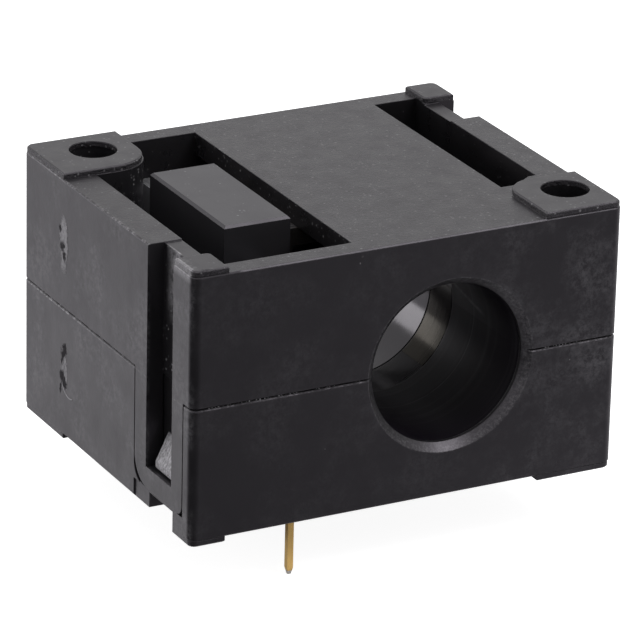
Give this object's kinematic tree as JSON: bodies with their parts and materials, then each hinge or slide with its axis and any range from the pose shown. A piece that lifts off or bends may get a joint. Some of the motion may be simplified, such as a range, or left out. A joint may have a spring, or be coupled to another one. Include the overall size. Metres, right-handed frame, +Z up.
{
  "type": "hall effect current sensor",
  "caption": "Black moulded current sensor block with a round through bore for the conductor, snap-fitted shells, open top pockets, diagonal screw holes and terminal pins below.",
  "frame": {"origin": "centre of the conductor bore, half way through the body, on the plane where the two shells meet", "axes": "+X to the right seen from the front, +Y to the back along the bore, +Z up, away from the pins"},
  "size_m": [0.047, 0.0386, 0.0348],
  "materials": {
    "black_moulding": "satin moulded glass-filled polyamide",
    "gloss_black_moulding": "glossy moulded insulating sleeve",
    "core_steel": "laminated silicon steel",
    "gold_plated_pin": "gold plated",
    "board_laminate": "glass epoxy board with dark solder resist",
    "spacer_plastic": "natural moulded plastic",
    "resistor_ceramic": "glazed ceramic chip",
    "capacitor_moulding": "moulded epoxy",
    "chip_moulding": "moulded epoxy"
  },
  "bodies": {
    "root": {"upper_shell": "black_moulding", "lower_shell": "black_moulding", "bore_sleeve_front": "gloss_black_moulding", "bore_sleeve_back": "gloss_black_moulding", "core_upper": "core_steel", "core_lower": "core_steel", "gap_cover": "black_moulding", "gap_spacer": "spacer_plastic", "hall_element": "chip_moulding", "circuit_board": "board_laminate", "supply_pin": "gold_plated_pin", "output_pin": "gold_plated_pin", "return_pin": "gold_plated_pin", "amplifier_chip": "chip_moulding", "reference_chip": "chip_moulding", "filter_capacitor_1": "capacitor_moulding", "filter_capacitor_2": "capacitor_moulding", "filter_capacitor_3": "capacitor_moulding", "protection_diode_1": "chip_moulding", "protection_diode_2": "chip_moulding", "resistor_1": "resistor_ceramic", "resistor_2": "resistor_ceramic", "resistor_3": "resistor_ceramic", "resistor_4": "resistor_ceramic", "resistor_5": "resistor_ceramic", "resistor_6": "resistor_ceramic", "thermistor": "chip_moulding"}
  },
  "joints": []
}
